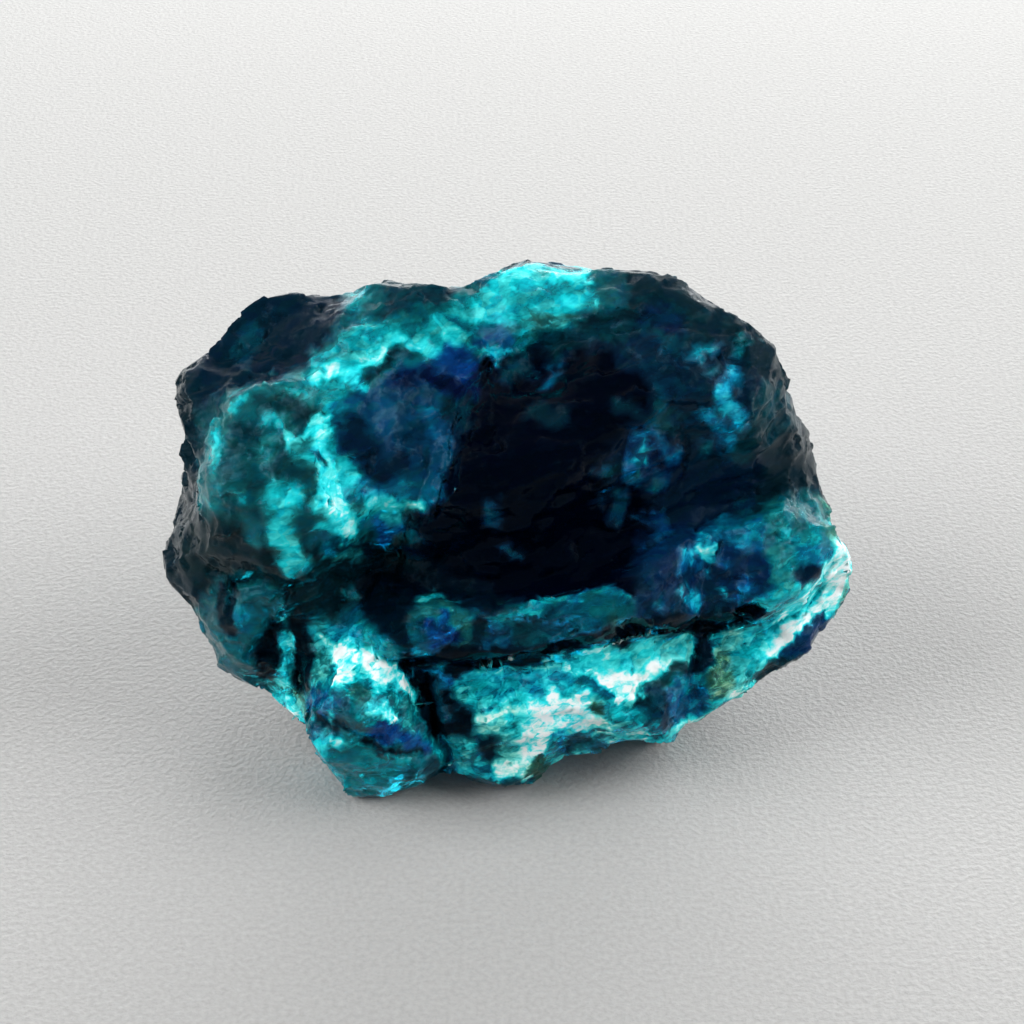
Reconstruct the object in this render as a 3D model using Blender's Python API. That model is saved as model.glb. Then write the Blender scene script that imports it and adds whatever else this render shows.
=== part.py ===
"""Rough aquamarine: one craggy, broken stone, 48 mm wide, standing on low feet.

Row frame: metres, +Z up. The stone's face looks towards -Y and leans back; the origin is the
middle of its base. Sizes below are in millimetres.
"""

import math

import bmesh
import bpy
import numpy as np
from mathutils import Euler, Matrix, Vector

MM = 0.001

FACE_LEAN = math.radians(32)  # the face looks up by this much
FACE_MIDDLE = np.array((0.0, -2.2, 13.3))
FACE_RIGHT = np.array((1.0, 0.0, 0.0))
FACE_UP = np.array((0.0, math.sin(FACE_LEAN), math.cos(FACE_LEAN)))
FACE_OUT = np.array((0.0, -math.cos(FACE_LEAN), math.sin(FACE_LEAN)))

FUSE_VOXEL = 0.55
FINISH_VOXEL = 0.45
TRIANGLES = 9000

# name: centre, half sizes, turn about X, Y, Z in degrees, squareness (2 is an ellipsoid)
LUMPS = {
    "core": ((0.5, 1.3, 14.5), (16, 12, 12.5), (0, 0, 0), 2.8),
    "left lobe": ((-15.2, -4.7, 17.4), (6.6, 8, 8.4), (0, -8, 10), 2.3),
    "back-left block": ((-17, 6.3, 16.2), (7.4, 8, 10), (8, 14, 6), 3.2),
    "upper ridge": ((-3.5, 2.8, 24.8), (12.5, 5, 4.6), (0, -10, 10), 2.6),
    "peak": ((3, 5.8, 25.6), (5.6, 4.6, 3.8), (0, 4, 0), 2.6),
    "right shoulder": ((9.8, 3.3, 17.0), (10.0, 10.5, 12.2), (0, 6, 0), 3.0),
    "left base": ((-17.4, -3.7, 11.2), (6.6, 7.5, 5.6), (0, 22, 0), 2.6),
    "left foot": ((-15.4, -6.7, 6.4), (3.6, 5.4, 4.4), (0, 30, 0), 2.6),
    "lower-left lump": ((-9.4, -13.0, 4.6), (5.1, 6.3, 7.6), (0, 10, 0), 2.3),
    "shelf": ((2.5, -7.4, 12.3), (10.5, 8, 3.9), (0, -6, 0), 2.6),
    "shelf end": ((17.2, -4.7, 13.2), (5.4, 6.5, 3.8), (0, -14, 30), 2.4),
    "lower collar": ((3.0, -8.4, 6.8), (10.6, 8.2, 4.8), (0, -7, 0), 2.8),
    "collar middle": ((11.5, -7.7, 7.6), (6.5, 6.2, 4.4), (0, -14, 20), 2.6),
    "collar end": ((17.4, -4.7, 9.8), (7.0, 5.5, 4.1), (0, -24, 32), 2.3),
    "front foot": ((0.3, -13.8, 1.6), (2.8, 3.6, 3.8), (0, 0, 0), 2.3),
    "right foot": ((10.2, -6.6, 3.2), (3.2, 4.6, 3.9), (0, 0, 0), 2.0),
    "back base": ((1, 8.3, 7), (15, 8, 7.6), (0, 0, 0), 2.8),
    "back ledge": ((3.5, 11.5, 10.8), (12, 5.5, 4.6), (0, 9, -6), 2.8),
    "back knob": ((-7.5, 11.0, 20.5), (6.5, 5, 5.5), (12, -10, 12), 2.8),
}

# Broken faces of the back: the way each looks, and its distance from the middle of the stone.
BACK_BREAKS = {
    "left": ((-0.62, 0.76, 0.18), 15.6),
    "right": ((0.66, 0.74, 0.10), 15.4),
    "high right": ((0.45, 0.62, 0.64), 15.6),
    "high left": ((-0.35, 0.64, 0.68), 16.2),
    "low left": ((-0.48, 0.62, -0.62), 16.8),
    "low right": ((0.52, 0.66, -0.54), 16.8),
}
BACK_MIDDLE = np.array((0.0, 1.0, 14.0))

# The stone's outline seen square on to its face, from this far off: (right, up) of the middle.
SEEN_FROM = 188.5
OUTLINE = (
    (-14.0, -14.2), (-13.5, -16.2), (-11.8, -18.3), (-9.7, -18.7), (-7.3, -18.2), (-6.3, -17.6),
    (-4.6, -17.1), (-2.5, -17.6), (-1.3, -18.1), (1.9, -17.9), (2.6, -17.2), (3.3, -15.7),
    (6.4, -15.7), (7.8, -14.8), (9.8, -14.5), (10.7, -15.5), (11.5, -14.8), (11.9, -13.8),
    (14.6, -12.4), (17.0, -10.9), (19.4, -9.5), (21.5, -8.3), (22.2, -6.3), (23.5, -5.2),
    (24.0, -2.8), (23.7, -1.5), (22.5, -0.4), (22.2, 2.0), (21.5, 4.4), (20.8, 7.1),
    (19.8, 9.5), (19.1, 11.9), (17.7, 13.6), (15.6, 15.0), (13.6, 16.0), (12.2, 17.4),
    (9.8, 17.9), (7.1, 17.9), (5.4, 18.4), (3.3, 18.4), (1.9, 18.7), (0.2, 18.4), (-1.5, 17.7),
    (-3.2, 16.9), (-5.3, 17.0), (-10.0, 17.2), (-11.4, 16.4), (-15.6, 16.4), (-18.0, 15.8),
    (-19.7, 14.6), (-20.4, 12.9), (-22.4, 11.6), (-23.3, 10.5), (-23.3, 7.8), (-22.9, 4.4),
    (-23.1, 0.9), (-24.0, -1.1), (-23.8, -3.5), (-22.4, -5.2), (-21.4, -7.3), (-19.7, -9.9),
    (-18.1, -10.2), (-16.6, -11.6), (-15.2, -13.1),
)
FIT_WAYS = 240  # directions in which the outline is matched

# Drawn on the face, as (right, up) of its middle. A step cuts into what lies left of its line,
# going along it: deepest at the line, then fading out over its reach. name: depth, reach, line
STEPS = {
    "under the shelf": (3.0, 5.0, ((17.4, -5.8), (12.9, -7.1), (6.4, -7.6), (1.9, -9.1),
                                   (-2.5, -9.5), (-7.3, -9.2), (-10.4, -7.6), (-11.1, -4.6))),
    "above the shelf": (3.6, 8.5, ((-7.6, -5.4), (-4.6, -4.9), (-2.5, -5.8), (0.2, -5.6),
                                   (2.6, -4.6), (7.1, -3.8), (11.2, -0.8), (17.0, 0.9),
                                   (19.8, 2.5))),
    "hollow's left rim": (3.2, 9.0, ((-8.0, -4.6), (-7.7, -0.8), (-4.2, 3.0), (-3.9, 5.0),
                                     (-2.5, 9.5), (-1.2, 11.6))),
    "hollow's top rim": (2.6, 7.0, ((9.1, 14.6), (4.0, 14.5), (0.9, 12.9), (-1.2, 11.6))),
    "under the ridge": (1.8, 3.4, ((-1.2, 11.7), (-4.6, 11.7), (-7.3, 11.6), (-10.2, 10.4))),
    "right of the crest": (2.2, 4.0, ((-10.8, -1.1), (-12.8, 0.2), (-13.7, 2.3), (-13.5, 5.0),
                                      (-14.5, 6.1), (-12.5, 8.1), (-10.2, 10.4))),
    "behind the left lobe": (2.8, 5.0, ((-21.4, 2.3), (-20.7, 6.8), (-18.6, 9.7),
                                        (-15.2, 10.5), (-13.2, 11.6), (-11.4, 16.4))),
}
PROUD = 0.2  # a step's lip stands out by this share of its depth
LIP = 1.6  # and falls back to the face over this width
DEEPEST_CUT = 3.8  # where steps meet

# A crease cuts in on both sides of its line, and a ridge, of less than no depth, stands proud.
CREASES = {
    "under the left lobe": (2.0, 1.5, ((-21.0, -3.5), (-15.2, -4.0), (-12.8, -3.7),
                                       (-10.4, -2.8), (-7.7, -1.9))),
    "left of the lump": (1.6, 1.2, ((-15.6, -4.6), (-15.0, -9.4), (-14.2, -13.1))),
    "left lens": (1.3, 1.0, ((-16.4, -5.9), (-16.9, -8.6), (-16.4, -11.6))),
    "across the lump": (1.2, 1.0, ((-13.5, -13.5), (-11.8, -14.3), (-8.7, -15.2), (-6.0, -15.5))),
    "right of the lump": (2.6, 1.4, ((-7.5, -9.4), (-6.0, -12.1), (-4.9, -14.2), (-4.6, -16.6))),
    "right of the block": (2.0, 1.3, ((12.9, -7.4), (13.2, -10.0), (12.2, -12.1), (10.5, -11.1),
                                      (8.1, -12.3))),
    "collar seam": (1.2, 1.1, ((14.6, -9.4), (18.0, -7.0), (21.5, -4.6), (22.8, -2.2))),
    "left crest": (-0.8, 1.3, ((-10.8, -1.1), (-12.8, 0.2), (-13.7, 2.3), (-13.5, 5.0),
                               (-14.5, 6.1), (-12.5, 8.1), (-10.2, 10.4))),
}

LAYER_NORMAL = np.array((-0.30, 0.12, 0.946))
LAYER_PITCH = 3.4
LAYER_DEPTH = 1.5

# Facets: how many, how flat (1 is quite flat), and how unevenly they stand.
FACETS = (200, 0.9, 0.4)
SMALL_FACETS = (1000, 0.8, 0.08)
FACET_TURN = 4.0  # millimetres that a turn of one radian counts as, when skin is shared out
LAYER_SQUEEZE = 1.7
SEED = 4

COLOUR = (0.012, 0.19, 0.22, 1.0)  # deep teal
ROUGHNESS = 0.3


def rotation(turn):
    return Euler([math.radians(a) for a in turn], "XYZ").to_matrix()


def lump(bm, centre, half, turn, squareness):
    """Adds a blunt block: a unit ball, squared off, stretched, turned and set in place."""
    ball = bmesh.ops.create_icosphere(bm, subdivisions=4, radius=1.0)["verts"]
    turned = rotation(turn)
    for vert in ball:
        spread = sum(abs(c) ** squareness for c in vert.co) ** (1 / squareness)
        blunt = vert.co / spread
        stretched = Vector(c * h for c, h in zip(blunt, half))
        vert.co = turned @ stretched + Vector(centre)


def mesh_object(name, bm):
    mesh = bpy.data.meshes.new(name)
    bm.to_mesh(mesh)
    bm.free()
    obj = bpy.data.objects.new(name, mesh)
    bpy.context.scene.collection.objects.link(obj)
    return obj


def apply_modifier(obj, kind, **settings):
    """Adds a modifier and keeps its result as the object's mesh."""
    modifier = obj.modifiers.new(kind.title(), kind)
    for name, value in settings.items():
        setattr(modifier, name, value)
    graph = bpy.context.evaluated_depsgraph_get()
    made = bpy.data.meshes.new_from_object(obj.evaluated_get(graph))
    obj.modifiers.clear()
    obj.data = made


def remesh(obj, voxel):
    """Makes one even skin round the shape."""
    apply_modifier(obj, "REMESH", mode="VOXEL", voxel_size=voxel)


def points_of(mesh):
    found = np.empty(len(mesh.vertices) * 3)
    mesh.vertices.foreach_get("co", found)
    return found.reshape(-1, 3)


def normals_of(mesh):
    found = np.empty(len(mesh.vertices) * 3)
    mesh.vertex_normals.foreach_get("vector", found)
    return found.reshape(-1, 3)


def move_points(mesh, points):
    mesh.vertices.foreach_set("co", points.ravel())
    mesh.update()


def fused_lumps():
    bm = bmesh.new()
    for centre, half, turn, squareness in LUMPS.values():
        lump(bm, centre, half, turn, squareness)
    stone = mesh_object("aquamarine_stone", bm)
    remesh(stone, FUSE_VOXEL)
    return stone


def break_back(mesh):
    """Brings what stands beyond each broken face of the back in to it."""
    points = points_of(mesh)
    for way, distance in BACK_BREAKS.values():
        normal = np.array(way) / np.linalg.norm(way)
        beyond = np.maximum((points - BACK_MIDDLE) @ normal - distance, 0)
        points -= beyond[:, None] * normal
    move_points(mesh, points)


def seen(points):
    """(right, up) of the points as seen square on to the face, and how much nearness enlarges
    each."""
    offset = points - FACE_MIDDLE
    scale = SEEN_FROM / (SEEN_FROM - offset @ FACE_OUT)
    flat = np.stack([offset @ FACE_RIGHT, offset @ FACE_UP], axis=1) * scale[:, None]
    return flat, scale


def reach_by_way(flat):
    """How far 2-D points reach from the middle, in each of FIT_WAYS directions."""
    ways = np.arctan2(flat[:, 1], flat[:, 0]) / (2 * math.pi) * FIT_WAYS
    reach = np.zeros(FIT_WAYS)
    np.maximum.at(reach, np.round(ways).astype(int) % FIT_WAYS, np.hypot(*flat.T))
    return reach


def fit_outline(mesh):
    """Stretches the stone across the face so that its outline is OUTLINE."""
    points = points_of(mesh)
    flat, scale = seen(points)
    ends = np.array(OUTLINE)
    steps = np.linspace(0, 1, 60, endpoint=False)[:, None, None]
    drawn = (ends + steps * (np.roll(ends, -1, axis=0) - ends)).reshape(-1, 2)
    has = reach_by_way(flat)
    stretch = reach_by_way(drawn) / has - 1
    stretch = (np.roll(stretch, 1) + stretch + np.roll(stretch, -1)) / 3
    ways = np.arctan2(flat[:, 1], flat[:, 0]) / (2 * math.pi) * FIT_WAYS
    grid = np.arange(FIT_WAYS)
    share = np.hypot(*flat.T) / np.interp(ways, grid, has, period=FIT_WAYS)
    share = np.clip((share - 0.3) / 0.7, 0, 1) ** 1.5
    moved = flat * (share * np.interp(ways, grid, stretch, period=FIT_WAYS) / scale)[:, None]
    points += moved[:, :1] * FACE_RIGHT + moved[:, 1:] * FACE_UP
    move_points(mesh, points)


def beside_line(flat, line, fade):
    """(signed distance, weight) of 2-D points from a line: positive on its left, less weight
    past its two ends."""
    best = np.full(len(flat), 1e9)
    signed = np.zeros(len(flat))
    weight = np.ones(len(flat))
    last = len(line) - 2
    for i, (start, end) in enumerate(zip(line, line[1:])):
        start, along = np.array(start), np.subtract(end, start)
        length = np.hypot(*along)
        along = along / length
        offset = flat - start
        run = offset @ along
        across = along[0] * offset[:, 1] - along[1] * offset[:, 0]
        near = np.hypot(run - np.clip(run, 0, length), across)
        closer = near < best
        best[closer] = near[closer]
        signed[closer] = np.where(across >= 0, near, -near)[closer]
        past = np.zeros(len(flat))
        if i == 0:
            past = np.maximum(past, -run)
        if i == last:
            past = np.maximum(past, run - length)
        weight[closer] = np.clip(1 - past / fade, 0, 1)[closer]
    return signed, weight


def carve_face(mesh):
    """Pushes the face in along its own direction, by the steps and creases drawn on it."""
    points = points_of(mesh)
    flat, _ = seen(points)
    facing = np.clip((normals_of(mesh) @ FACE_OUT - 0.2) / 0.35, 0, 1)
    cut = np.zeros(len(points))
    lift = np.zeros(len(points))
    for depth, reach, line in STEPS.values():
        signed, weight = beside_line(flat, line, 0.4 * reach)
        lip = np.clip(signed / FUSE_VOXEL, 0, 1)
        fall = np.clip(1 - signed / reach, 0, 1) ** 1.3
        proud = PROUD * np.clip(1 + signed / LIP, 0, 1) * (signed < 0)
        cut = np.maximum(cut, depth * lip * fall * weight)
        lift = np.maximum(lift, depth * proud * weight)
    for depth, half_width, line in CREASES.values():
        signed, weight = beside_line(flat, line, half_width)
        cut += depth * np.clip(1 - np.abs(signed) / half_width, 0, 1) * weight
    cut = np.minimum(cut - lift, DEEPEST_CUT)
    points -= (cut * facing)[:, None] * FACE_OUT
    move_points(mesh, points)


def facet(mesh, random, count, strength, unevenness):
    """Flattens the skin, patch by patch, into facets that are longest along the layers."""
    points = points_of(mesh)
    normals = normals_of(mesh)
    along = (points @ LAYER_NORMAL)[:, None]
    place = points + (LAYER_SQUEEZE - 1) * along * LAYER_NORMAL
    key = np.hstack([place, FACET_TURN * normals])
    seeds = key[random.choice(len(key), count, replace=False)]
    nearest = np.empty(len(key), int)
    for start in range(0, len(key), 2000):
        block = key[start:start + 2000]
        gap = (block ** 2).sum(axis=1)[:, None] - 2 * block @ seeds.T + (seeds ** 2).sum(axis=1)
        nearest[start:start + 2000] = gap.argmin(axis=1)
    size = np.maximum(np.bincount(nearest, minlength=count), 1)[:, None]
    centre = np.stack([np.bincount(nearest, c, count) for c in points.T], axis=1) / size
    looks = np.stack([np.bincount(nearest, n, count) for n in normals.T], axis=1)
    looks /= np.maximum(np.linalg.norm(looks, axis=1), 1e-9)[:, None]
    height = ((points - centre[nearest]) * looks[nearest]).sum(axis=1)
    rise = random.normal(0, unevenness, count)[nearest] - strength * height
    points += rise[:, None] * looks[nearest]
    move_points(mesh, points)


def layer(mesh, random):
    """Steps the sides like worn layers: a sawtooth along the layers' normal."""
    points = points_of(mesh)
    normals = normals_of(mesh)
    waves = [(random.normal(0, 0.16, 3), random.uniform(0, 2 * math.pi)) for _ in range(5)]
    warp = sum(np.sin(points @ wave + phase) for wave, phase in waves)
    strength = sum(np.sin(points @ (1.7 * wave[::-1]) + phase) for wave, phase in waves)
    strength = np.clip(0.5 + 0.3 * strength, 0, 1)
    along = points @ LAYER_NORMAL
    phase = (along + 0.9 * warp) / LAYER_PITCH
    tooth = 1 - (phase % 1)
    side = 1 - np.abs(normals @ LAYER_NORMAL)
    points -= (LAYER_DEPTH * tooth * strength * side)[:, None] * normals
    move_points(mesh, points)


def keep_largest(mesh):
    """Drops every loose island but the one with the most faces."""
    bm = bmesh.new()
    bm.from_mesh(mesh)
    left = set(bm.faces)
    islands = []
    while left:
        island = {left.pop()}
        edge = list(island)
        while edge:
            near = {f for e in edge.pop().edges for f in e.link_faces} & left
            left -= near
            island |= near
            edge += near
        islands.append(island)
    islands.sort(key=len)
    bmesh.ops.delete(bm, geom=[f for i in islands[:-1] for f in i], context="FACES")
    bm.to_mesh(mesh)
    bm.free()


def stand(mesh):
    """Moves the stone onto the origin and cuts its feet off flat, where it rests."""
    points = points_of(mesh)
    low, high = points.min(axis=0), points.max(axis=0)
    middle = (low + high) / 2
    mesh.transform(Matrix.Translation((-middle[0], -middle[1], 0)))
    bm = bmesh.new()
    bm.from_mesh(mesh)
    geometry = bm.verts[:] + bm.edges[:] + bm.faces[:]
    bmesh.ops.bisect_plane(bm, geom=geometry, plane_co=(0, 0, 0), plane_no=(0, 0, -1), clear_outer=True)
    rims = [e for e in bm.edges if e.is_boundary]
    bmesh.ops.holes_fill(bm, edges=rims, sides=0)
    bmesh.ops.triangulate(bm, faces=bm.faces[:])
    bm.to_mesh(mesh)
    bm.free()


def give_material(obj):
    material = bpy.data.materials.new("aquamarine")
    material.use_nodes = True
    surface = material.node_tree.nodes["Principled BSDF"].inputs
    surface["Base Color"].default_value = COLOUR
    surface["Roughness"].default_value = ROUGHNESS
    surface["Metallic"].default_value = 0.0
    obj.data.materials.append(material)


def main():
    for obj in list(bpy.data.objects):
        bpy.data.objects.remove(obj)
    random = np.random.default_rng(SEED)
    stone = fused_lumps()
    break_back(stone.data)
    remesh(stone, FUSE_VOXEL)
    layer(stone.data, random)
    facet(stone.data, random, *FACETS)
    fit_outline(stone.data)
    remesh(stone, FUSE_VOXEL)
    carve_face(stone.data)
    apply_modifier(stone, "SMOOTH", factor=0.5, iterations=3)
    facet(stone.data, random, *SMALL_FACETS)
    fit_outline(stone.data)
    remesh(stone, FINISH_VOXEL)
    keep_largest(stone.data)
    triangles = 2 * len(stone.data.polygons)
    apply_modifier(stone, "DECIMATE", ratio=TRIANGLES / triangles)
    stand(stone.data)
    stone.data.transform(Matrix.Scale(MM, 4))
    give_material(stone)


main()
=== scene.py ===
"""The looks of a rough aquamarine: its broken, glassy skin and its colour, from cyan where it is
thin to near black where it is thick, which is painted light and shade standing in for light
shining through it, on a pale floor in soft studio light.

Lengths are in millimetres until a mesh is finished, and the frame's metres after that.
"""

import math

import bpy
import numpy as np
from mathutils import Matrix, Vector
from mathutils.bvhtree import BVHTree

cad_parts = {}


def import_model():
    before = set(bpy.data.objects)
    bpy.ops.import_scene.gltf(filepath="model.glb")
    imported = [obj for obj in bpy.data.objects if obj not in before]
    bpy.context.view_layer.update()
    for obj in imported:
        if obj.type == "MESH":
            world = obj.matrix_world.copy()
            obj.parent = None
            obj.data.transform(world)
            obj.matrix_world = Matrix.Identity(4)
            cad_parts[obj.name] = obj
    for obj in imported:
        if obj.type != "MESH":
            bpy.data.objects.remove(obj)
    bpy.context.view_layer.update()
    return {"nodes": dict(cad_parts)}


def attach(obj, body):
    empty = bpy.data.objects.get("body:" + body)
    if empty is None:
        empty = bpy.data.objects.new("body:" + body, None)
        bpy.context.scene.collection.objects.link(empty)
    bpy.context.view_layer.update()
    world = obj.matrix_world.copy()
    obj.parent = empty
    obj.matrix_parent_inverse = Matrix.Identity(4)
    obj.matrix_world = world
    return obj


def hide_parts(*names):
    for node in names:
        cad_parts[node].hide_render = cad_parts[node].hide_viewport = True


MM = 0.001
NODE = "aquamarine_stone"
SEED = 7

# The stone's face: a plane that leans back, whose (right, up) places the features below.
FACE_LEAN = math.radians(32)
FACE_MIDDLE = np.array((0.242, -1.731, 13.3))
FACE_RIGHT = np.array((1.0, 0.0, 0.0))
FACE_UP = np.array((0.0, math.sin(FACE_LEAN), math.cos(FACE_LEAN)))
FACE_OUT = np.array((0.0, -math.cos(FACE_LEAN), math.sin(FACE_LEAN)))

# The camera looks at the face square on. The face's middle shows at this pixel.
PIXELS = 1024
MIDDLE_PIXEL = (510, 528)
MM_PER_PIXEL = 48 / 688
LENS = 95.0
SENSOR = 36.0
SEEN_FROM = PIXELS * MM_PER_PIXEL * LENS / SENSOR

# The skin: the size of its quads when it is cut, and the triangles it keeps.
SKIN_VOXEL = 0.21
TRIANGLES = 190000

# Worn layers run round the stone, a little tilted.
LAYER_NORMAL = np.array((-0.30, 0.12, 0.946))
LAYER_PITCH = 1.3
LAYER_DEPTH = 0.22
LAYER_WANDER = 0.5

# Facets: how many, how flat (1 is quite flat), and how unevenly they stand.
FACETS = (1500, 0.85, 0.13)
SMALL_FACETS = (8000, 0.8, 0.06)

# When skin is shared out among facets: what a turn of one radian counts as, and how many times
# as much a step across the layers counts as one along them.
FACET_TURN = 1.6
FACET_SQUEEZE = 1.8

# Cracks across the face: depth, half width, line of (right, up).
CRACKS = {
    "under the shelf": (1.8, 0.7, ((17.4, -5.8), (12.9, -7.1), (9.6, -7.2), (6.4, -7.6),
                                    (1.9, -9.1), (-2.5, -9.5), (-7.3, -9.2), (-10.4, -7.6))),
    "under the left lobe": (1.2, 0.6, ((-21.0, -3.5), (-15.2, -4.0), (-12.8, -3.7),
                                       (-10.4, -2.8), (-7.7, -1.9))),
    "left of the lump": (0.9, 0.5, ((-15.6, -4.6), (-15.0, -9.4), (-14.2, -13.1))),
    "left lens": (0.8, 0.4, ((-16.4, -5.9), (-16.9, -8.6), (-16.4, -11.6))),
    "across the lump": (0.6, 0.4, ((-13.5, -13.5), (-11.8, -14.3), (-8.7, -15.2),
                                   (-6.0, -15.5))),
    "right of the lump": (1.8, 0.8, ((-7.5, -9.4), (-6.0, -12.1), (-4.9, -14.2),
                                     (-4.6, -16.6))),
    "right of the block": (1.0, 0.5, ((12.9, -7.4), (13.2, -10.0), (12.2, -12.1))),
    "collar seam": (0.7, 0.4, ((14.6, -9.4), (18.0, -7.0), (21.5, -4.6), (22.8, -2.2))),
    "round face, right": (0.7, 0.4, ((-8.0, -4.6), (-7.7, -0.8), (-4.2, 3.0), (-3.9, 5.0),
                                     (-2.5, 9.5), (-1.2, 11.6))),
    "facet in the hollow": (0.5, 0.35, ((8.0, 3.2), (8.2, 6.2), (10.5, 7.3), (12.0, 6.0),
                                        (11.6, 3.4), (9.6, 2.4))),
}
CRACK_WANDER = 0.45  # how far they stray from their lines
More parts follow.
